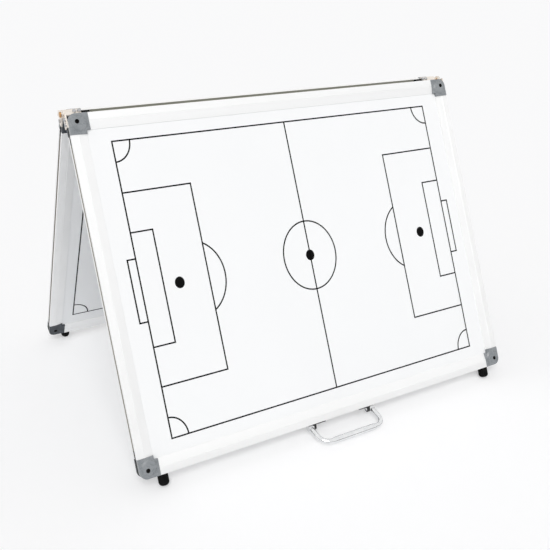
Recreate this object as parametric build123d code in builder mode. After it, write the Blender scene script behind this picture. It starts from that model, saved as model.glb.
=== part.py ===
from build123d import *
from math import asin, cos, degrees, radians, sin
import os

# Folding magnetic tactics board: two framed panels hinged along their top edges, standing as a tent.
# Each panel is drawn in its own frame: x along the width, y up from the bottom edge, z outwards.

# Panels and how they stand, in millimetres and degrees
panel_width = 600.0
panel_height = 450.0
panel_thickness = 13.0
seam_gap = 1.0                  # between the two inner faces when the board is folded shut
lean = 26.0                     # lean of each panel from upright

# Frame rail section
rail_band = 21.0                # height of the rail seen from the front
flat_band = 10.0                # its flat outer part; the rest slopes to the board
lip_drop = 1.7                  # fall of the slope
groove_width = 0.8
groove_depth = 0.35
slot_width = 5.0
slot_depth = 4.0
rail_wall = 1.2

# Board: a light core between two lacquered steel sheets
sheet_thickness = 0.5
core_thickness = 7.0
pocket_depth = 8.0
pocket_clearance = 0.05
board_end_clearance = 0.5

# Corners
cap_long = 26.0
cap_radius = 10.0
cap_proud = 1.0
cap_chamfer = 0.4
boss_radius = 10.0
boss_inset = 13.5
boss_height = 1.6
boss_slope = 52.0               # slope of its rim, degrees from upright
hole_radius = 2.75
hole_inset = 10.5
arm_length = 10.0
arm_clearance = 0.1
arm_recess = 0.3
board_corner_clearance = 0.3

# Feet
foot_radius = 6.8
foot_length = 15.0
foot_round = 4.5
foot_flat = 0.4
foot_inset = 30.0
stem_radius = 1.6
stem_length = 3.2
stem_clearance = 0.1

# End hinges
hinge_rise = 3.2                # hinge axis above the top edges
plate_thickness = 1.5
plate_gap = 0.3
ear_radius = 5.0
ear_clearance = 0.3
plate_inner = 0.5               # plate edge, outwards from the seam
plate_outer = 11.5
plate_knee = 9.0                # depth of the cranked part below the axis
plate_bottom = 19.0
flange_length = 24.0            # part of the rear plate folded over the panel's top edge
flange_screw_places = (16.0, 22.0)
pin_radius = 2.0
pin_press_clearance = 0.02
pin_running_clearance = 0.05
pin_head_radius = 3.5
pin_head_height = 1.2
screw_radius = 1.25
screw_length = 6.0
screw_head_radius = 2.6
screw_head_height = 1.1
screw_clearance = 0.02
screw_end_clearance = 0.5       # screw point short of its hole's end
hinge_screw_drop = 14.7
upper_screw_drop = 8.7          # the front plate's second screw, which has no flange

# Carrying handle
handle_width = 110.0
handle_wire = 3.5
handle_reach = 32.0
handle_corner = 15.0
grip_radius = 4.5
grip_length = 66.0
grip_cone = 8.0
grip_cone_radius = 2.5
handle_floor_gap = 0.3
eye_radius = 4.2
eye_width = 8.0
pivot_drop = 5.0
pivot_radius = 2.0
lug_thickness = 3.0
lug_gap = 0.3
pivot_overhang = 0.5
bracket_length = 18.0
bracket_width = 11.0
bracket_plate = 1.5
bracket_screw_radius = 1.5
bracket_screw_head = 2.7
bracket_screw_inset = 7.0
backing_bar_length = 104.0
backing_bar_depth = 3.4

# Levels worked out from the sizes above
mid = panel_thickness / 2
slot_low = mid - slot_width / 2
slot_high = mid + slot_width / 2
board_thickness = core_thickness + 2 * sheet_thickness
board_low = mid - board_thickness / 2
board_high = mid + board_thickness / 2
pocket_low = board_low - pocket_clearance
pocket_high = board_high + pocket_clearance
board_inset = rail_band - pocket_depth + board_end_clearance
board_width = panel_width - 2 * board_inset
board_height = panel_height - 2 * board_inset
axis_up = panel_height + hinge_rise
foot_ring_drop = foot_length - foot_round
foot_ring = foot_radius - foot_round
lug_face = handle_width / 2 - handle_wire - eye_width / 2 - lug_gap
tilt = radians(lean)

# Hinge axis and stance: the feet stand at z = 0, and the whole box is centred on y = 0
seam_to_mid = mid + seam_gap / 2
plate_shoulder = hinge_rise - plate_thickness
axis_z = (axis_up + foot_ring_drop) * cos(tilt) - (seam_to_mid - foot_ring) * sin(tilt) + foot_round - foot_flat
pivot_z = axis_z - (axis_up + pivot_drop) * cos(tilt) + seam_to_mid * sin(tilt)
handle_dip = asin((pivot_z - grip_radius - handle_floor_gap) / handle_reach)
pivot_back = (axis_up + pivot_drop) * sin(tilt) + seam_to_mid * cos(tilt)
front_reach = pivot_back + handle_reach * cos(handle_dip) + grip_radius
back_reach = (axis_up + foot_ring_drop) * sin(tilt) + (seam_to_mid + foot_ring) * cos(tilt) + foot_round
axis_y = (front_reach - back_reach) / 2

os.makedirs("parts", exist_ok=True)


def panel_frame(side):
    """Plane at the middle of a panel's bottom edge, on its inner face: side -1 front, +1 rear."""
    up = Vector(0, -side * sin(tilt), cos(tilt))
    out = Vector(0, side * cos(tilt), sin(tilt))
    origin = Vector(0, axis_y, axis_z) - up * axis_up + out * (seam_gap / 2)
    return Plane(origin=origin, x_dir=(-side, 0, 0), z_dir=out)


def at(frame, x, y, z):
    return frame.from_local_coords(Vector(x, y, z))


def save(part, name):
    part.label = name
    export_step(part, f"parts/{name}.step")


# Rails
def make_rail(frame, start, inward, length):
    """One rail: extruded from its start point, with its section reaching inwards."""
    section = Plane(
        origin=at(frame, *start, 0),
        x_dir=frame.x_dir * inward[0] + frame.y_dir * inward[1],
        z_dir=frame.x_dir * inward[1] - frame.y_dir * inward[0],
    )
    half = panel_thickness / 2
    top = [
        (slot_depth, slot_width / 2),
        (0, slot_width / 2),
        (0, half),
        (flat_band - groove_width, half),
        (flat_band - groove_width / 2, half - groove_depth),
        (flat_band, half),
        (rail_band, half - lip_drop),
        (rail_band, board_thickness / 2 + pocket_clearance),
        (rail_band - pocket_depth, board_thickness / 2 + pocket_clearance),
    ]
    bottom = [(a, -b) for a, b in reversed(top)]
    with BuildPart() as rail:
        with BuildSketch(section):
            with Locations((0, mid)):
                with BuildSketch(mode=Mode.PRIVATE) as outline:
                    with BuildLine():
                        Polyline(*top, *bottom, close=True)
                    make_face()
                add(outline.sketch)
            chamber = rail_band - pocket_depth - slot_depth - 2 * rail_wall
            with Locations((slot_depth + rail_wall + chamber / 2, mid)):
                Rectangle(chamber, panel_thickness - 2 * rail_wall, mode=Mode.SUBTRACT)
        extrude(amount=length)
    return rail.part


# Board
def make_layer(frame, level, thickness):
    with BuildPart() as layer:
        with BuildSketch(frame.offset(level)):
            with Locations((0, panel_height / 2)):
                Rectangle(board_width, board_height)
        extrude(amount=thickness)
    return layer.part


# Corners
def corner_frame(frame, turn):
    """Plane at a corner of the panel, x and y running inwards along its two edges."""
    half = panel_width / 2
    corners = [(-half, 0), (half, 0), (half, panel_height), (-half, panel_height)]
    x_dirs = [frame.x_dir, frame.y_dir, frame.x_dir * -1, frame.y_dir * -1]
    return Plane(origin=at(frame, *corners[turn], 0), x_dir=x_dirs[turn], z_dir=frame.z_dir)


def corner_outline(plane, board_cut):
    """Stepped corner shape with one rounded corner, less the board's own corner where asked."""
    with BuildSketch(plane) as shape:
        Rectangle(cap_long, rail_band, align=(Align.MIN, Align.MIN))
        Rectangle(rail_band, cap_long, align=(Align.MIN, Align.MIN))
        fillet(shape.vertices().sort_by_distance((0, 0))[0], radius=cap_radius)
        if board_cut:
            start = board_inset - board_corner_clearance
            with Locations((start, start)):
                Rectangle(cap_long, cap_long, align=(Align.MIN, Align.MIN), mode=Mode.SUBTRACT)
    return shape.sketch


def drill(plane, depth):
    with BuildSketch(plane) as hole:
        with Locations((hole_inset, hole_inset)):
            Circle(hole_radius)
    extrude(hole.sketch, amount=depth, mode=Mode.SUBTRACT)


def make_outer_cap(corner):
    face = panel_thickness + cap_proud
    with BuildPart() as cap:
        extrude(corner_outline(corner.offset(pocket_high), False), amount=face - pocket_high)
        top = cap.faces().sort_by(Axis(corner.origin, corner.z_dir))[-1]
        chamfer(top.edges(), length=cap_chamfer)
        extrude(corner_outline(corner.offset(slot_high), True), amount=pocket_high - slot_high)
        with BuildSketch(corner.offset(face)):
            with Locations((boss_inset, boss_inset)):
                Circle(boss_radius)
        extrude(amount=boss_height, taper=boss_slope)
        drill(corner, face + boss_height)
    return cap.part


def make_inner_cap(corner):
    with BuildPart() as cap:
        extrude(corner_outline(corner, False), amount=pocket_low)
        bottom = cap.faces().sort_by(Axis(corner.origin, corner.z_dir))[0]
        chamfer(bottom.edges(), length=cap_chamfer)
        extrude(corner_outline(corner.offset(pocket_low), True), amount=slot_low - pocket_low)
        drill(corner, slot_low)
    return cap.part


def make_corner_block(corner, foot_arm, hinge_arm, side):
    """Black joint between the caps, with an arm in each rail's slot; arms 0 and 1 run along x and y."""
    arm_depth = slot_depth - arm_recess - arm_clearance
    arm_height = slot_width - 2 * arm_clearance
    with BuildPart() as block:
        extrude(corner_outline(corner.offset(slot_low), True), amount=slot_width)
        with BuildSketch(corner.offset(slot_low + arm_clearance)):
            with Locations((cap_long, arm_recess)):
                Rectangle(arm_length, arm_depth, align=(Align.MIN, Align.MIN))
            with Locations((arm_recess, cap_long)):
                Rectangle(arm_depth, arm_length, align=(Align.MIN, Align.MIN))
        extrude(amount=arm_height)
        drill(corner, slot_high)
        if foot_arm is not None:
            side_hole(corner, foot_arm, foot_inset, stem_radius + stem_clearance, slot_depth)
        if hinge_arm is not None:
            for drop in end_screw_drops(side):
                side_hole(corner, hinge_arm, drop - hinge_rise, screw_radius + screw_clearance, screw_length)
            for place in flange_screw_places if side == 1 else ():
                side_hole(corner, 1 - hinge_arm, place, screw_radius + screw_clearance, screw_length)
    return block.part


def side_hole(corner, arm, along, radius, depth):
    """Round hole into one edge of the corner, a distance along that edge."""
    edge_dir = corner.x_dir if arm == 0 else corner.y_dir
    in_dir = corner.y_dir if arm == 0 else corner.x_dir
    origin = corner.origin + edge_dir * along + corner.z_dir * mid
    with BuildSketch(Plane(origin=origin, x_dir=edge_dir, z_dir=in_dir)) as hole:
        Circle(radius)
    extrude(hole.sketch, amount=depth, mode=Mode.SUBTRACT)


# Feet
def make_foot(frame, x):
    centre = at(frame, x, 0, mid)
    with BuildPart() as foot:
        with BuildSketch(Plane(origin=centre, x_dir=frame.x_dir, z_dir=frame.z_dir)) as half:
            with Locations((0, -foot_length)):
                Rectangle(foot_radius, foot_length, align=(Align.MIN, Align.MIN))
            fillet(half.vertices().sort_by_distance((foot_radius, -foot_length))[0], radius=foot_round)
            Rectangle(stem_radius, stem_length, align=(Align.MIN, Align.MIN))
        revolve(axis=Axis(centre, frame.y_dir))
        split(bisect_by=Plane.XY, keep=Keep.TOP)
    return foot.part


# End hinges
def end_plane(frame, end, out):
    """Plane across the hinge axis, a distance out from the end of the panel: x outwards, y up."""
    origin = at(frame, end * (panel_width / 2 + out), axis_up, -seam_gap / 2)
    return Plane(origin=origin, x_dir=frame.z_dir, z_dir=frame.x_dir * -1)


def plate_shape(low, high):
    """The plate's outline between two depths below the axis, all on its own side of the seam."""
    with Locations((plate_inner, -low)):
        Rectangle(plate_outer - plate_inner, high - low, align=(Align.MIN, Align.MAX))


def flange(frame, end):
    """Strip of the plate folded over the top edge of the panel, with its screw holes."""
    over = Plane(origin=at(frame, end * panel_width / 2, panel_height, 0), x_dir=frame.x_dir, z_dir=frame.y_dir)
    low = plate_inner - seam_gap / 2
    high = plate_outer - seam_gap / 2
    with BuildSketch(over) as strip:
        with Locations((-end * flange_length / 2, -(low + high) / 2)):
            Rectangle(flange_length, high - low)
        with Locations(*flange_screws(end)):
            Circle(screw_radius + screw_clearance, mode=Mode.SUBTRACT)
    extrude(strip.sketch, amount=plate_thickness)


def flange_screws(end):
    return [(-end * place, -mid) for place in flange_screw_places]


def end_screw_drops(side):
    """Depths below the axis of the screws in a panel's end: two on the front panel, one on the rear."""
    return (upper_screw_drop, hinge_screw_drop) if side == -1 else (hinge_screw_drop,)


def end_screws(side):
    return [(seam_to_mid, -drop) for drop in end_screw_drops(side)]


def make_front_plate(frame, end):
    with BuildPart() as plate:
        with BuildSketch(end_plane(frame, end, 0)):
            Circle(ear_radius)
            plate_shape(plate_shoulder, plate_bottom)
            Circle(pin_radius + pin_press_clearance, mode=Mode.SUBTRACT)
            with Locations(*end_screws(-1)):
                Circle(screw_radius + screw_clearance, mode=Mode.SUBTRACT)
        extrude(amount=-end * plate_thickness)
    return plate.part


def make_rear_plate(frame, end):
    """Cranked plate: its base lies on the panel's end, its ear lies outside the other plate's ear."""
    crank = 2 * plate_thickness + plate_gap
    with BuildPart() as plate:
        with BuildSketch(end_plane(frame, end, 0)):
            plate_shape(plate_shoulder, plate_knee)
            Circle(ear_radius + ear_clearance, mode=Mode.SUBTRACT)
        extrude(amount=-end * crank)
        with BuildSketch(end_plane(frame, end, 0)):
            plate_shape(plate_knee, plate_bottom)
            with Locations(*end_screws(1)):
                Circle(screw_radius + screw_clearance, mode=Mode.SUBTRACT)
        extrude(amount=-end * plate_thickness)
        with BuildSketch(end_plane(frame, end, plate_thickness + plate_gap)):
            Circle(ear_radius)
            plate_shape(plate_shoulder, plate_knee)
            Circle(pin_radius + pin_running_clearance, mode=Mode.SUBTRACT)
        extrude(amount=-end * plate_thickness)
        flange(frame, end)
    return plate.part


def make_hinge_pin(frame, end):
    shank = 2 * plate_thickness + 2 * plate_gap
    with BuildPart() as pin:
        with BuildSketch(end_plane(frame, end, 0)):
            Circle(pin_radius)
        extrude(amount=-end * shank)
        with BuildSketch(end_plane(frame, end, shank)):
            Circle(pin_head_radius)
        extrude(amount=-end * pin_head_height)
        outer_edge = pin.edges().filter_by(GeomType.CIRCLE).sort_by(Axis((0, 0, 0), frame.x_dir * end))[-1]
        fillet(outer_edge, radius=pin_head_height * 0.7)
    return pin.part


def make_hinge_screws(frame, side):
    with BuildPart() as screws:
        for end in (-1, 1):
            under = end_plane(frame, end, plate_thickness)
            with BuildSketch(under):
                with Locations(*end_screws(side)):
                    Circle(screw_radius)
            extrude(amount=end * (screw_length - screw_end_clearance + plate_thickness))
            with BuildSketch(under):
                with Locations(*end_screws(side)):
                    Circle(screw_head_radius)
            extrude(amount=-end * screw_head_height)
            if side == -1:
                continue
            on_flange = Plane(
                origin=at(frame, end * panel_width / 2, panel_height + plate_thickness, 0),
                x_dir=frame.x_dir,
                z_dir=frame.y_dir,
            )
            with BuildSketch(on_flange):
                with Locations(*flange_screws(end)):
                    Circle(screw_head_radius)
            extrude(amount=screw_head_height)
            with BuildSketch(on_flange):
                with Locations(*flange_screws(end)):
                    Circle(screw_radius)
            extrude(amount=-(screw_length - screw_end_clearance + plate_thickness))
    return screws.part


# Handle
def handle_plane(frame):
    """Plane through the handle's pivots at rest: x along the width, y from the pivots to the grip."""
    reach_dir = Vector(0, -cos(handle_dip), -sin(handle_dip))
    return Plane(origin=at(frame, 0, -pivot_drop, mid), x_dir=(1, 0, 0), z_dir=Vector(1, 0, 0).cross(reach_dir))


def make_bail(frame):
    rest = handle_plane(frame)
    leg = handle_width / 2 - handle_wire
    with BuildPart() as bail:
        with BuildLine(rest) as wire:
            FilletPolyline((-leg, 0), (-leg, handle_reach), (leg, handle_reach), (leg, 0), radius=handle_corner)
        with BuildSketch(Plane(origin=wire.line @ 0, z_dir=wire.line % 0)):
            Circle(handle_wire)
        sweep()
        revolve(grip_profile(rest), axis=Axis(rest.from_local_coords(Vector(0, handle_reach, 0)), rest.x_dir))
        for side in (-1, 1):
            eye = Plane(
                origin=rest.from_local_coords(Vector(side * (leg - eye_width / 2), 0, 0)),
                x_dir=rest.y_dir,
                z_dir=rest.x_dir * side,
            )
            with BuildSketch(eye):
                Circle(eye_radius)
            extrude(amount=eye_width)
            with BuildSketch(eye):
                Circle(pivot_radius)
            extrude(amount=-(lug_gap + lug_thickness + pivot_overhang))
    return bail.part


def grip_profile(rest):
    """Half section of the thicker grip, tapering back to the wire at both ends."""
    half = grip_length / 2
    with BuildSketch(rest) as section:
        with BuildLine():
            Polyline(
                (-half - grip_cone, handle_reach),
                (-half - grip_cone, handle_reach + grip_cone_radius),
                (-half, handle_reach + grip_radius),
                (half, handle_reach + grip_radius),
                (half + grip_cone, handle_reach + grip_cone_radius),
                (half + grip_cone, handle_reach),
                close=True,
            )
        make_face()
    return section.sketch


def make_bracket(frame, side):
    """Black plate under the bottom rail, with the lug that carries one end of the handle."""
    outer = lug_face
    lug_plane = Plane(origin=at(frame, side * outer, 0, mid), x_dir=frame.z_dir, z_dir=frame.x_dir * -1)
    with BuildPart() as bracket:
        with BuildSketch(Plane(origin=at(frame, 0, 0, mid), x_dir=frame.x_dir, z_dir=frame.y_dir * -1)):
            with Locations((side * (outer - bracket_length / 2), 0)):
                Rectangle(bracket_length, bracket_width)
            with Locations((side * (outer - bracket_length + bracket_screw_inset), 0)):
                Circle(bracket_screw_radius + screw_clearance, mode=Mode.SUBTRACT)
        extrude(amount=bracket_plate)
        with BuildSketch(lug_plane):
            with BuildLine():
                Polyline(
                    (-bracket_width / 2, 0),
                    (bracket_width / 2, 0),
                    (eye_radius, -pivot_drop),
                    (-eye_radius, -pivot_drop),
                    close=True,
                )
            make_face()
            with Locations((0, -pivot_drop)):
                Circle(eye_radius)
                Circle(pivot_radius + pin_running_clearance, mode=Mode.SUBTRACT)
        extrude(amount=side * lug_thickness)
    return bracket.part


def bracket_screw_places():
    place = lug_face - bracket_length + bracket_screw_inset
    return [(-place, 0), (place, 0)]


def make_handle_screws(frame):
    below = Plane(origin=at(frame, 0, -bracket_plate, mid), x_dir=frame.x_dir, z_dir=frame.y_dir * -1)
    with BuildPart() as screws:
        with BuildSketch(below):
            with Locations(*bracket_screw_places()):
                Circle(bracket_screw_head)
        extrude(amount=screw_head_height)
        with BuildSketch(below):
            with Locations(*bracket_screw_places()):
                Circle(bracket_screw_radius)
        extrude(amount=-(bracket_plate + backing_bar_depth))
    return screws.part


def make_backing_bar(frame):
    """Steel strip in the bottom rail's slot that the bracket screws pull against."""
    mouth = Plane(origin=at(frame, 0, 0, mid), x_dir=frame.x_dir, z_dir=frame.y_dir)
    with BuildPart() as bar:
        with BuildSketch(mouth.offset(arm_clearance)):
            Rectangle(backing_bar_length, slot_width - 2 * arm_clearance)
            with Locations(*bracket_screw_places()):
                Circle(bracket_screw_radius + screw_clearance, mode=Mode.SUBTRACT)
        extrude(amount=backing_bar_depth)
    return bar.part


# Make and save every piece of both panels
for name, side in (("front", -1), ("rear", 1)):
    frame = panel_frame(side)
    half = panel_width / 2
    long_rail = panel_width - 2 * cap_long
    short_rail = panel_height - 2 * cap_long
    save(make_rail(frame, (-long_rail / 2, 0), (0, 1), long_rail), f"{name}_bottom_rail")
    save(make_rail(frame, (long_rail / 2, panel_height), (0, -1), long_rail), f"{name}_top_rail")
    save(make_rail(frame, (-half, panel_height - cap_long), (1, 0), short_rail), f"{name}_left_rail")
    save(make_rail(frame, (half, cap_long), (-1, 0), short_rail), f"{name}_right_rail")
    save(make_layer(frame, board_low, sheet_thickness), f"{name}_inner_sheet")
    save(make_layer(frame, board_low + sheet_thickness, core_thickness), f"{name}_core_board")
    save(make_layer(frame, board_high - sheet_thickness, sheet_thickness), f"{name}_outer_sheet")
    places = ("bottom_left", "bottom_right", "top_right", "top_left")
    foot_arms = (0, 1, None, None)
    hinge_arms = (None, None, 1, 0)
    for turn, place in enumerate(places):
        corner = corner_frame(frame, turn)
        save(make_outer_cap(corner), f"{name}_outer_cap_{place}")
        save(make_inner_cap(corner), f"{name}_inner_cap_{place}")
        save(make_corner_block(corner, foot_arms[turn], hinge_arms[turn], side), f"{name}_corner_block_{place}")
    for end, hand in ((-1, "left"), (1, "right")):
        save(make_foot(frame, end * (half - foot_inset)), f"{name}_foot_{hand}")
        plate = make_front_plate(frame, end) if name == "front" else make_rear_plate(frame, end)
        save(plate, f"{name}_hinge_plate_{hand}")
    save(make_hinge_screws(frame, side), f"{name}_hinge_screws")

front = panel_frame(-1)
save(make_hinge_pin(front, -1), "hinge_pin_left")
save(make_hinge_pin(front, 1), "hinge_pin_right")
save(make_bail(front), "handle_bail")
save(make_bracket(front, -1), "handle_bracket_left")
save(make_bracket(front, 1), "handle_bracket_right")
save(make_handle_screws(front), "handle_screws")
save(make_backing_bar(front), "handle_backing_bar")
print(f"hinge axis y {axis_y:.3f} z {axis_z:.3f}, handle dips {degrees(handle_dip):.2f} degrees")
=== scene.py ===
from math import acos, cos, degrees, radians, sin

import bmesh
import bpy
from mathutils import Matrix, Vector


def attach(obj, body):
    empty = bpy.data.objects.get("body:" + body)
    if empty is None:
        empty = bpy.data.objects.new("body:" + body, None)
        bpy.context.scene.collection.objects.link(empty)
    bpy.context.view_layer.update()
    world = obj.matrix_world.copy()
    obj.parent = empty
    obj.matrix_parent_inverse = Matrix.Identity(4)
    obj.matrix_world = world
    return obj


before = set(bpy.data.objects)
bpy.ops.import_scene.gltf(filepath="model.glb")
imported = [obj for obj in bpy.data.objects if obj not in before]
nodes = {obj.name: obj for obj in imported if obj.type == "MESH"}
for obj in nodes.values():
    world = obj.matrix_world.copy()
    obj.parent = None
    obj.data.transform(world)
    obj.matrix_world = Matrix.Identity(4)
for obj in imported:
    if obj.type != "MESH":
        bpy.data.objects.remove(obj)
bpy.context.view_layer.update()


# Camera
# A camera on a tripod, left of the board and looking down on it. Its place, turn and lens are
# fitted to the corner holes, feet and printed lines in the photograph.
camera_place = (-0.53153, -0.82181, 0.59007)
camera_tilt_down = 24.158
camera_turn_right = 26.885
camera_data = bpy.data.cameras.new("photo_camera")
camera_data.sensor_width = 36.0
camera_data.lens = 45.61
camera_data.shift_x = 0.1284
camera_data.shift_y = -0.0047
camera_data.clip_end = 200.0
camera = bpy.data.objects.new("photo_camera", camera_data)
camera.location = camera_place
camera.rotation_euler = (radians(90.0 - camera_tilt_down), 0.0, radians(-camera_turn_right))
bpy.context.scene.collection.objects.link(camera)
bpy.context.scene.camera = camera
bpy.context.scene.view_settings.view_transform = "Standard"


# Studio light
# A white cloth tent gives soft light from all round, and one wide lamp stands high at the front
# left. Seen directly, or in gloss and glass, the tent is plain white. A dark gap low down all round
# it shows only in gloss.
tent_level = 0.54
tent_white = (0.985, 0.985, 0.985, 1.0)
tent_gap_dark = (0.03, 0.035, 0.04, 1.0)
tent_gap_top, tent_gap_full = 0.24, 0.08
lamp_level = 1.55
lamp_spread = radians(40.0)
lamp_way = Vector((-0.35, -0.57, 0.74))


def work_out(tree, operation, *values):
    """One sum on plain numbers or on what other nodes give, and its result."""
    step = tree.nodes.new("ShaderNodeMath")
    step.operation = operation
    for socket, value in zip(step.inputs, values):
        if isinstance(value, float):
            socket.default_value = value
        else:
            tree.links.new(value, socket)
    return step.outputs[0]


def seen_ray(tree):
    """1 for a ray from the camera or off gloss or glass, 0 for light falling on a dull surface."""
    ray = tree.nodes.new("ShaderNodeLightPath").outputs
    camera_or_gloss = work_out(tree, "MAXIMUM", ray["Is Camera Ray"], ray["Is Glossy Ray"])
    return work_out(tree, "MAXIMUM", camera_or_gloss, ray["Is Transmission Ray"])


def tent_cloth(tree, tone, level):
    """The tent's cloth, glowing evenly in that tone."""
    cloth = tree.nodes.new("ShaderNodeBackground")
    cloth.inputs["Color"].default_value = tone
    cloth.inputs["Strength"].default_value = level
    return cloth.outputs["Background"]


def mix_light(tree, share, first, second):
    """The first light where share is 0, and the second where it is 1."""
    mix = tree.nodes.new("ShaderNodeMixShader")
    tree.links.new(share, mix.inputs["Fac"])
    tree.links.new(first, mix.inputs[1])
    tree.links.new(second, mix.inputs[2])
    return mix.outputs["Shader"]


world = bpy.data.worlds.new("studio_tent")
bpy.context.scene.world = world
world.use_nodes = True
tent = world.node_tree
tent.nodes.clear()
tent_way = tent.nodes.new("ShaderNodeTexCoord")
tent_height = tent.nodes.new("ShaderNodeSeparateXYZ")
tent.links.new(tent_way.outputs["Generated"], tent_height.inputs["Vector"])
gap_here = tent.nodes.new("ShaderNodeMapRange")
gap_here.interpolation_type = "SMOOTHSTEP"
gap_here.inputs["From Min"].default_value = tent_gap_top
gap_here.inputs["From Max"].default_value = tent_gap_full
tent.links.new(tent_height.outputs["Z"], gap_here.inputs["Value"])
gloss_ray = tent.nodes.new("ShaderNodeLightPath").outputs["Is Glossy Ray"]
gap_in_gloss = work_out(tent, "MULTIPLY", gap_here.outputs["Result"], gloss_ray)
tent_wall = mix_light(tent, gap_in_gloss, tent_cloth(tent, tent_white, 1.0),
                      tent_cloth(tent, tent_gap_dark, 1.0))
tent_glow = mix_light(tent, seen_ray(tent), tent_cloth(tent, (1.0, 1.0, 1.0, 1.0), tent_level),
                      tent_wall)
tent_output = tent.nodes.new("ShaderNodeOutputWorld")
tent.links.new(tent_glow, tent_output.inputs["Surface"])

wide_lamp_data = bpy.data.lights.new("wide_lamp", "SUN")
wide_lamp_data.energy = lamp_level
wide_lamp_data.angle = lamp_spread
wide_lamp = bpy.data.objects.new("wide_lamp", wide_lamp_data)
wide_lamp.rotation_euler = lamp_way.to_track_quat("Z", "Y").to_euler()
bpy.context.scene.collection.objects.link(wide_lamp)


# Floor
# A wide sheet of matt white card. Part of its brightness to the eye is its own, so that it stays
# white to the edge of the picture and still takes the soft shadow under the board.
floor_radius = 60.0
floor_sides = 96
floor_drop = 0.0002
card_bounce_tone = (0.91, 0.928, 0.955, 1.0)
card_seen_tone = (0.735, 0.735, 0.742, 1.0)
card_own_light = 0.286
floor_mesh = bpy.data.meshes.new("floor_card")
floor_form = bmesh.new()
bmesh.ops.create_circle(floor_form, cap_ends=True, radius=floor_radius, segments=floor_sides)
floor_form.to_mesh(floor_mesh)
floor_form.free()
floor_card = bpy.data.objects.new("floor_card", floor_mesh)
floor_card.location.z = -floor_drop
bpy.context.scene.collection.objects.link(floor_card)

card_finish = bpy.data.materials.new("matt_white_card")
card_finish.use_nodes = True
card = card_finish.node_tree
card.nodes.clear()
card_tone = card.nodes.new("ShaderNodeMix")
card_tone.data_type = "RGBA"
card_tone.inputs["A"].default_value = card_bounce_tone
card_tone.inputs["B"].default_value = card_seen_tone
card.links.new(seen_ray(card), card_tone.inputs["Factor"])
card_dull = card.nodes.new("ShaderNodeBsdfDiffuse")
card.links.new(card_tone.outputs["Result"], card_dull.inputs["Color"])
card_glow = card.nodes.new("ShaderNodeEmission")
card_glow.inputs["Color"].default_value = (1.0, 1.0, 1.0, 1.0)
card.links.new(work_out(card, "MULTIPLY", seen_ray(card), card_own_light),
               card_glow.inputs["Strength"])
card_sum = card.nodes.new("ShaderNodeAddShader")
card.links.new(card_dull.outputs["BSDF"], card_sum.inputs[0])
card.links.new(card_glow.outputs["Emission"], card_sum.inputs[1])
card_output = card.nodes.new("ShaderNodeOutputMaterial")
card.links.new(card_sum.outputs["Shader"], card_output.inputs["Surface"])
floor_mesh.materials.append(card_finish)


# Frame rails
# Lengths of extruded aluminium, satin anodised, four to a panel and mitred at the corners, where
# the cap holes pass through them, painted black inside as shade. The die leaves fine lines along
# each length. The groove in the edge is dull with dirt and darkened with painted shade, more on the
# tall rails.
FRONT, REAR = -1, 1
panel_word = {FRONT: "front", REAR: "rear"}
panel_size = (0.600, 0.450)
lean = radians(26.0)
hinge_axis = Vector((0.0, 0.013544, 0.418810))
hinge_rise = 0.4532      # from a panel's lower edge up to the hinge's axis
hinge_offset = 0.0005    # from the axis out to its inner face

noise_low, noise_high = 0.30, 0.70
cloud_detail, smear_detail, mark_detail = 5.0, 3.0, 2.0
smears_to_a_patch = 3.0


def make_finish(name, tones, patch, gloss, relief, metal=0.0, turn=0.0, stretch=(1.0, 1.0, 1.0)):
    """A finish with two tones in soft patches, an uneven gloss and a fine relief.

    patch is the size of a patch in metres, gloss is (roughest, smoothest), and relief is the size of
    the marks and their depth in metres. turn tips the marks back about X, and stretch packs them
    closer along each axis."""
    finish = bpy.data.materials.new(name)
    finish.use_nodes = True
    tree = finish.node_tree
    shader = tree.nodes["Principled BSDF"]
    shader.inputs["Metallic"].default_value = metal

    place = tree.nodes.new("ShaderNodeTexCoord")
    lay = tree.nodes.new("ShaderNodeMapping")
    lay.inputs["Rotation"].default_value = (turn, 0.0, 0.0)
    lay.inputs["Scale"].default_value = stretch
    tree.links.new(place.outputs["Object"], lay.inputs["Vector"])

    def noise(scale, detail):
        clouds = tree.nodes.new("ShaderNodeTexNoise")
        clouds.inputs["Scale"].default_value = scale
        clouds.inputs["Detail"].default_value = detail
        tree.links.new(lay.outputs["Vector"], clouds.inputs["Vector"])
        return clouds.outputs["Fac"]

    tone = tree.nodes.new("ShaderNodeValToRGB")
    for element, position, colour in zip(tone.color_ramp.elements, (noise_low, noise_high), tones):
        element.position = position
        element.color = (*colour, 1.0)
    tree.links.new(noise(1.0 / patch, cloud_detail), tone.inputs["Fac"])
    tree.links.new(tone.outputs["Color"], shader.inputs["Base Color"])

    rough = tree.nodes.new("ShaderNodeMapRange")
    rough.inputs["From Min"].default_value = noise_low
    rough.inputs["From Max"].default_value = noise_high
    rough.inputs["To Min"].default_value = gloss[1]
    rough.inputs["To Max"].default_value = gloss[0]
    tree.links.new(noise(smears_to_a_patch / patch, smear_detail), rough.inputs["Value"])
    tree.links.new(rough.outputs["Result"], shader.inputs["Roughness"])

    bump = tree.nodes.new("ShaderNodeBump")
    bump.inputs["Strength"].default_value = 1.0
    bump.inputs["Distance"].default_value = relief[1]
    tree.links.new(noise(1.0 / relief[0], mark_detail), bump.inputs["Height"])
    tree.links.new(bump.outputs["Normal"], shader.inputs["Normal"])
    return finish


def coat(names, finish):
    """Gives the finish to every face of the named parts."""
    for name in names:
        part = nodes[name].data
        part.materials.clear()
        part.materials.append(finish)


def panel_ways(side):
    """A panel's own directions: across to its right, up its slope and out from its inner face."""
    return (Vector((-side, 0.0, 0.0)), Vector((0.0, -side * sin(lean), cos(lean))),
            Vector((0.0, side * cos(lean), sin(lean))))


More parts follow.
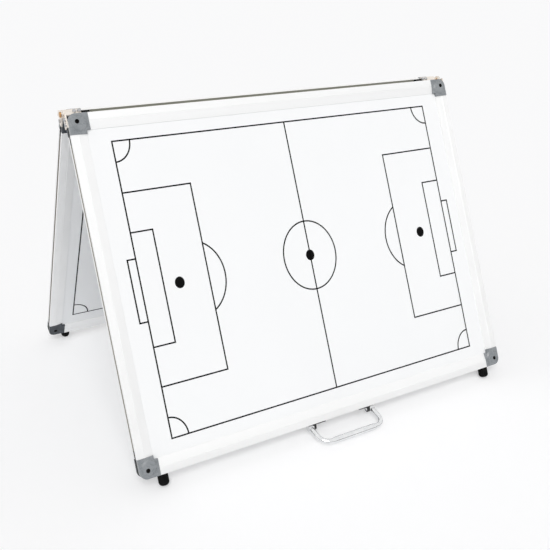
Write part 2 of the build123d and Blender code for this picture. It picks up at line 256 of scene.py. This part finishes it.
def measure(tree, way, zero):
    """How far each point of a surface lies beyond zero along a direction, in metres."""
    place = tree.nodes.new("ShaderNodeTexCoord")
    along = tree.nodes.new("ShaderNodeVectorMath")
    along.operation = "DOT_PRODUCT"
    along.inputs[1].default_value = way
    tree.links.new(place.outputs["Object"], along.inputs[0])
    return work_out(tree, "SUBTRACT", along.outputs["Value"], zero)


def tone_where(finish, here, tone):
    """Changes the finish's colour to that tone where here is 1."""
    tree = finish.node_tree
    shader = tree.nodes["Principled BSDF"]
    shade = tree.nodes.new("ShaderNodeMix")
    shade.data_type = "RGBA"
    shade.inputs["B"].default_value = (*tone, 1.0)
    tree.links.new(here, shade.inputs["Factor"])
    tree.links.new(shader.inputs["Base Color"].links[0].from_socket, shade.inputs["A"])
    tree.links.new(shade.outputs["Result"], shader.inputs["Base Color"])


groove_middle, groove_half = 0.0065, 0.00252
groove_lip = 0.0002
# Groove colours: dirt plus painted shade for the groove's depth; the tall rails' groove is painted
# darker still, as shade where less light falls.
long_groove_dirt_and_shade = (0.46, 0.46, 0.405)
tall_groove_dirt_and_shade = (0.40, 0.375, 0.33)


def paint_groove_dirt_and_shade(finish, side, tone):
    """Dirt in the groove round the panel's edge, with painted shade standing in for the groove's
    depth.

    The groove is found by its place: between two heights above the inner face, below the edge."""
    tree = finish.node_tree
    across, up, out = panel_ways(side)
    middle_point = hinge_axis - up * (hinge_rise - panel_size[1] / 2)
    level = middle_point.dot(out) + groove_middle + hinge_offset
    near_level = work_out(tree, "COMPARE", measure(tree, out, level), 0.0, groove_half)
    below_sides = work_out(tree, "COMPARE", measure(tree, across, 0.0), 0.0,
                           panel_size[0] / 2 - groove_lip)
    below_ends = work_out(tree, "COMPARE", measure(tree, up, middle_point.dot(up)), 0.0,
                          panel_size[1] / 2 - groove_lip)
    below_edges = work_out(tree, "MULTIPLY", below_sides, below_ends)
    tone_where(finish, work_out(tree, "MULTIPLY", near_level, below_edges), tone)


cap_hole = (0.2895, 0.2145)
cap_hole_radius = 0.0028
# Black painted inside the corner holes as shade.
hole_shade_black = (0.004, 0.004, 0.004)


def paint_hole_shade(finish, side):
    """Painted shade: black and dull inside a panel's four corner holes, found by their distance from
    its middle.
    """
    tree = finish.node_tree
    across, up, out = panel_ways(side)
    middle_point = hinge_axis - up * (hinge_rise - panel_size[1] / 2)
    offsets = tree.nodes.new("ShaderNodeCombineXYZ")
    for socket, way, hole_place in zip(offsets.inputs, (across, up), cap_hole):
        from_middle = work_out(tree, "ABSOLUTE", measure(tree, way, middle_point.dot(way)))
        tree.links.new(work_out(tree, "SUBTRACT", from_middle, hole_place), socket)
    from_hole = tree.nodes.new("ShaderNodeVectorMath")
    from_hole.operation = "LENGTH"
    tree.links.new(offsets.outputs["Vector"], from_hole.inputs[0])
    in_hole = work_out(tree, "LESS_THAN", from_hole.outputs["Value"], cap_hole_radius)
    tone_where(finish, in_hole, hole_shade_black)
    roughness = tree.nodes["Principled BSDF"].inputs["Roughness"]
    tree.links.new(work_out(tree, "MAXIMUM", in_hole, roughness.links[0].from_socket), roughness)


anodised_tones = ((0.915, 0.914, 0.909), (0.95, 0.949, 0.945))
along_grain = 0.03
for side, word in panel_word.items():
    for run, rails, stretch, groove_dirt_and_shade in (
            ("long", ("bottom", "top"), (along_grain, 1.0, 1.0), long_groove_dirt_and_shade),
            ("tall", ("left", "right"), (1.0, 1.0, along_grain), tall_groove_dirt_and_shade)):
        anodised = make_finish(f"anodised_{word}_{run}", tones=anodised_tones, patch=0.020,
                               gloss=(0.46, 0.34), relief=(0.0009, 0.00002), metal=0.30,
                               turn=-side * lean, stretch=stretch)
        # Dirt and painted shade in the edge groove.
        paint_groove_dirt_and_shade(anodised, side, groove_dirt_and_shade)
        # Painted shade: the insides of the corner holes are black.
        paint_hole_shade(anodised, side)
        coat([f"{word}_{rail}_rail" for rail in rails], anodised)


# Core boards
# A stiff grey-brown board of paper honeycomb, cut to drop into the rails. It fills each panel
# between its two sheets, which are glued to it.
card_core = make_finish("grey_card", tones=((0.20, 0.18, 0.16), (0.30, 0.27, 0.24)), patch=0.012,
                        gloss=(0.95, 0.85), relief=(0.0015, 0.0002))
coat([f"{word}_core_board" for word in panel_word.values()], card_core)


# Writing sheets
# Thin steel sheets with a white baked lacquer, one on each face of each panel. They take magnets
# and dry-wipe pens, and wiping leaves faint smears in the gloss.
clear_coat = 0.25
clear_coat_roughness = 0.12


def set_evenly(finish, setting, value):
    """Sets a value that is the same all over the finish."""
    finish.node_tree.nodes["Principled BSDF"].inputs[setting].default_value = value


for side, word in panel_word.items():
    lacquer = make_finish(f"white_lacquer_{word}", patch=0.16, gloss=(0.42, 0.30),
                          tones=((0.915, 0.918, 0.92), (0.93, 0.932, 0.934)),
                          relief=(0.0030, 0.000006), turn=-side * lean, stretch=(1.0, 1.0, 0.5))
    set_evenly(lacquer, "Coat Weight", clear_coat)
    set_evenly(lacquer, "Coat Roughness", clear_coat_roughness)
    coat((f"{word}_outer_sheet", f"{word}_inner_sheet"), lacquer)


# Printed pitches
# Black lines screen-printed on the lacquer: a whole pitch on each outer face, and half of a larger
# one on each inner face. A place on a face is (across from its middle, up from its lower edge), in
# metres.
dull_black_shine = 0.06
ink = make_finish("printing_ink", tones=((0.002, 0.002, 0.002), (0.005, 0.005, 0.005)),
                  patch=0.004, gloss=(0.72, 0.52), relief=(0.0006, 0.00003))
set_evenly(ink, "Specular IOR Level", dull_black_shine)
ink_height = 0.00012
line_width = 0.0019
outer_face = 0.0105
inner_face = 0.0025
ring_steps, spot_steps, bow_steps, corner_steps = 96, 48, 36, 16


def on_panel(side, across, up, out):
    """A point of a panel, in metres across from its middle, up from its lower edge and out from its
    inner face."""
    across_way, up_way, out_way = panel_ways(side)
    lower_edge = hinge_axis - up_way * hinge_rise + out_way * hinge_offset
    return lower_edge + across_way * across + up_way * up + out_way * out


def draw_line(form, points, closed=False):
    """A flat ribbon along points of the face, with mitred corners."""
    count = len(points)
    edges = []
    for i in range(count):
        here = Vector(points[i])
        ways = []
        if closed or i > 0:
            ways.append((here - Vector(points[i - 1])).normalized())
        if closed or i < count - 1:
            ways.append((Vector(points[(i + 1) % count]) - here).normalized())
        mitre = Vector((-ways[0].y, ways[0].x))
        if len(ways) == 2:
            next_side = Vector((-ways[1].y, ways[1].x))
            mitre = (mitre + next_side) / (1.0 + mitre.dot(next_side))
        edges.append((form.verts.new((*(here + mitre * line_width / 2), 0.0)),
                      form.verts.new((*(here - mitre * line_width / 2), 0.0))))
    for i in range(count if closed else count - 1):
        a, b = edges[i], edges[(i + 1) % count]
        form.faces.new((a[0], a[1], b[1], b[0]))


def arc(centre, radii, start, end, steps):
    """Points along an oval's arc, with its angles in degrees."""
    angles = [radians(start + (end - start) * i / steps) for i in range(steps + 1)]
    return [(centre[0] + radii[0] * cos(angle), centre[1] + radii[1] * sin(angle))
            for angle in angles]


def ring(centre, radii, steps):
    """Points all round an oval, with none repeated."""
    return arc(centre, radii, 0.0, 360.0 - 360.0 / steps, steps - 1)


def draw_spot(form, centre, radii):
    """A filled oval spot."""
    form.faces.new([form.verts.new((x, y, 0.0)) for x, y in ring(centre, radii, spot_steps)])


def lay_print(form, name, side, out, faces_out):
    """Lays the drawn lines on a panel's face and fixes them to it."""
    for v in form.verts:
        v.co = on_panel(side, v.co.x, v.co.y, out)
    if not faces_out:
        bmesh.ops.reverse_faces(form, faces=form.faces)
    mesh = bpy.data.meshes.new(name)
    form.to_mesh(mesh)
    form.free()
    mesh.materials.append(ink)
    piece = bpy.data.objects.new(name, mesh)
    bpy.context.scene.collection.objects.link(piece)
    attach(piece, f"{panel_word[side]}_panel")


# The whole pitch of an outer face is stretched a little in height to fill it, so its circles are
# slightly oval.
middle = 0.225
half_length, half_height = 0.250, 0.18675
box_depth, box_half = 0.0930, 0.1220
goal_area_depth, goal_area_half = 0.0296, 0.0720
goal_depth, goal_half = 0.0110, 0.0395
circle_radii = (0.0422, 0.0475)
bow_centre, bow_radii = 0.0726, (0.0440, 0.0495)
bow_reach = degrees(acos((box_depth - bow_centre) / bow_radii[0]))
corner_radii = (0.0230, 0.0260)
spot_place, spot_radii = 0.0515, (0.0067, 0.0075)
low, high = middle - half_height, middle + half_height
for side, word in panel_word.items():
    pitch = bmesh.new()
    draw_line(pitch, [(-half_length, low), (half_length, low), (half_length, high),
                      (-half_length, high)], closed=True)
    draw_line(pitch, [(0.0, low), (0.0, high)])
    draw_line(pitch, ring((0.0, middle), circle_radii, ring_steps), closed=True)
    draw_spot(pitch, (0.0, middle), spot_radii)
    for end in (-1, 1):
        goal_line = end * half_length
        for depth, half in ((box_depth, box_half), (goal_area_depth, goal_area_half),
                            (-goal_depth, goal_half)):
            front_line = goal_line - end * depth
            draw_line(pitch, [(goal_line, middle - half), (front_line, middle - half),
                              (front_line, middle + half), (goal_line, middle + half)])
        inward = 180.0 if end > 0 else 0.0
        draw_line(pitch, arc((goal_line - end * bow_centre, middle), bow_radii,
                             inward - bow_reach, inward + bow_reach, bow_steps))
        draw_spot(pitch, (goal_line - end * spot_place, middle), spot_radii)
    for corner, start in (((-half_length, low), 0.0), ((half_length, low), 90.0),
                          ((half_length, high), 180.0), ((-half_length, high), 270.0)):
        draw_line(pitch, arc(corner, corner_radii, start, start + 90.0, corner_steps))
    lay_print(pitch, f"{word}_pitch_print", side, outer_face + ink_height, True)

# The larger pitch runs over both inner faces and round to the hinge, so each has a goal at its
# lower edge and half of the middle circle at its upper edge.
wide_half = 0.2609
wide_goal_line = 0.0425
wide_panel_top = 0.4290
wide_corner = 0.0252
wide_box_depth, wide_box_half = 0.1290, 0.1545
wide_area_depth, wide_area_half = 0.0430, 0.0703
wide_goal_depth, wide_goal_half = 0.0120, 0.0281
wide_circle = 0.0712
wide_circle_steps = 48
wide_spot_place, wide_spot = 0.0860, 0.0071
wide_bow_reach = degrees(acos((wide_box_depth - wide_spot_place) / wide_circle))
wide_circle_reach = degrees(acos((hinge_rise - wide_panel_top) / wide_circle))
wide_spot_centre = (0.0, wide_goal_line + wide_spot_place)
for side, word in panel_word.items():
    half_pitch = bmesh.new()
    draw_line(half_pitch, [(-wide_half, wide_panel_top), (-wide_half, wide_goal_line),
                           (wide_half, wide_goal_line), (wide_half, wide_panel_top)])
    for depth, half in ((wide_box_depth, wide_box_half), (wide_area_depth, wide_area_half),
                        (-wide_goal_depth, wide_goal_half)):
        draw_line(half_pitch, [(-half, wide_goal_line), (-half, wide_goal_line + depth),
                               (half, wide_goal_line + depth), (half, wide_goal_line)])
    draw_line(half_pitch, arc(wide_spot_centre, (wide_circle, wide_circle),
                              90.0 - wide_bow_reach, 90.0 + wide_bow_reach, bow_steps))
    draw_spot(half_pitch, wide_spot_centre, (wide_spot, wide_spot))
    for end, start in ((-1, 0.0), (1, 90.0)):
        draw_line(half_pitch, arc((end * wide_half, wide_goal_line), (wide_corner, wide_corner),
                                  start, start + 90.0, corner_steps))
    draw_line(half_pitch, arc((0.0, hinge_rise), (wide_circle, wide_circle),
                              270.0 - wide_circle_reach, 270.0 + wide_circle_reach,
                              wide_circle_steps))
    lay_print(half_pitch, f"{word}_half_pitch_print", side, inner_face - ink_height, False)


# Corner blocks
# Black nylon blocks pushed into the ends of two rails, which they hold square. Their edges show as
# dark bars in the slots beside each corner.
corners = ("bottom_left", "bottom_right", "top_right", "top_left")
black_nylon = make_finish("black_nylon", tones=((0.004, 0.004, 0.004), (0.010, 0.010, 0.010)),
                          patch=0.006, gloss=(0.62, 0.48), relief=(0.0005, 0.00005))
set_evenly(black_nylon, "Specular IOR Level", dull_black_shine)
for word in panel_word.values():
    coat([f"{word}_corner_block_{corner}" for corner in corners], black_nylon)


# Outer corner caps
# Moulded grey plastic caps with a satin grain, pressed over each corner. Each has a raised boss
# with a sloping rim, and a hole painted black inside as shade.
for side, word in panel_word.items():
    grey_plastic = make_finish(f"grey_cap_plastic_{word}", patch=0.009, gloss=(0.36, 0.22),
                               tones=((0.205, 0.220, 0.233), (0.285, 0.300, 0.312)),
                               relief=(0.0005, 0.00003))
    # Painted shade: the insides of the corner holes are black.
    paint_hole_shade(grey_plastic, side)
    coat([f"{word}_outer_cap_{corner}" for corner in corners], grey_plastic)


# Inner corner caps
# Caps of a darker navy grey plastic, moulded and pressed on in the same way, on the two faces that
# close together. The same holes pass through them.
for side, word in panel_word.items():
    dark_plastic = make_finish(f"dark_cap_plastic_{word}", patch=0.010, gloss=(0.50, 0.32),
                               tones=((0.024, 0.031, 0.040), (0.050, 0.060, 0.074)),
                               relief=(0.0004, 0.00003))
    # Painted shade: the insides of the corner holes are black.
    paint_hole_shade(dark_plastic, side)
    coat([f"{word}_inner_cap_{corner}" for corner in corners], dark_plastic)


# Feet
# Moulded black rubber feet on short stems, pushed into the slot in each bottom rail, two under
# each panel. The rubber is matt, with a fine moulded grain.
foot_rubber = make_finish("foot_rubber", tones=((0.003, 0.003, 0.003), (0.010, 0.010, 0.010)),
                          patch=0.005, gloss=(0.85, 0.65), relief=(0.0007, 0.00010))
set_evenly(foot_rubber, "Specular IOR Level", dull_black_shine)
for word in panel_word.values():
    coat([f"{word}_foot_{hand}" for hand in ("left", "right")], foot_rubber)


# Hinge plates
# Pressed steel plates, nickel plated with a warm tint, screwed over the ends of the upper rails.
# The front panel's plates are flat, and the rear panel's are cranked beside them.
nickel = make_finish("hinge_nickel", tones=((0.80, 0.72, 0.64), (0.90, 0.85, 0.79)), patch=0.008,
                     gloss=(0.42, 0.26), relief=(0.0006, 0.00002), metal=0.9)
for word in panel_word.values():
    coat([f"{word}_hinge_plate_{hand}" for hand in ("left", "right")], nickel)


# Hinge pins
# Brass rivets with rounded heads, one through the eyes of each pair of plates. The panels swing on
# them.
brass = make_finish("rivet_brass", tones=((0.42, 0.20, 0.07), (0.62, 0.36, 0.14)), patch=0.004,
                    gloss=(0.44, 0.28), relief=(0.0005, 0.00003), metal=0.9)
coat(("hinge_pin_left", "hinge_pin_right"), brass)


# Screws
# Small pan-head screws of bright steel. They fix the hinge plates to the rails and the handle's
# brackets to the backing bar.
screw_steel = make_finish("screw_steel", tones=((0.40, 0.40, 0.41), (0.56, 0.56, 0.57)),
                          patch=0.003, gloss=(0.38, 0.24), relief=(0.0004, 0.00002), metal=1.0)
coat(("front_hinge_screws", "rear_hinge_screws", "handle_screws"), screw_steel)


# Handle brackets and backing bar
# Two bent steel brackets, painted black, hold the handle's pivots under the front panel. A flat
# steel bar inside the rail takes their screws.
black_paint = make_finish("bracket_paint", tones=((0.006, 0.006, 0.007), (0.014, 0.014, 0.015)),
                          patch=0.006, gloss=(0.46, 0.30), relief=(0.0007, 0.00004))
coat(("handle_bracket_left", "handle_bracket_right", "handle_backing_bar"), black_paint)


# Carrying handle
# A bail of bent steel rod with a thicker grip and an eye at each end, chromium plated all over. It
# swings on the brackets' pivots.
chrome = make_finish("handle_chrome", tones=((0.76, 0.77, 0.78), (0.86, 0.865, 0.87)),
                     patch=0.012, gloss=(0.10, 0.04), relief=(0.0030, 0.00001), metal=1.0)
coat(("handle_bail",), chrome)
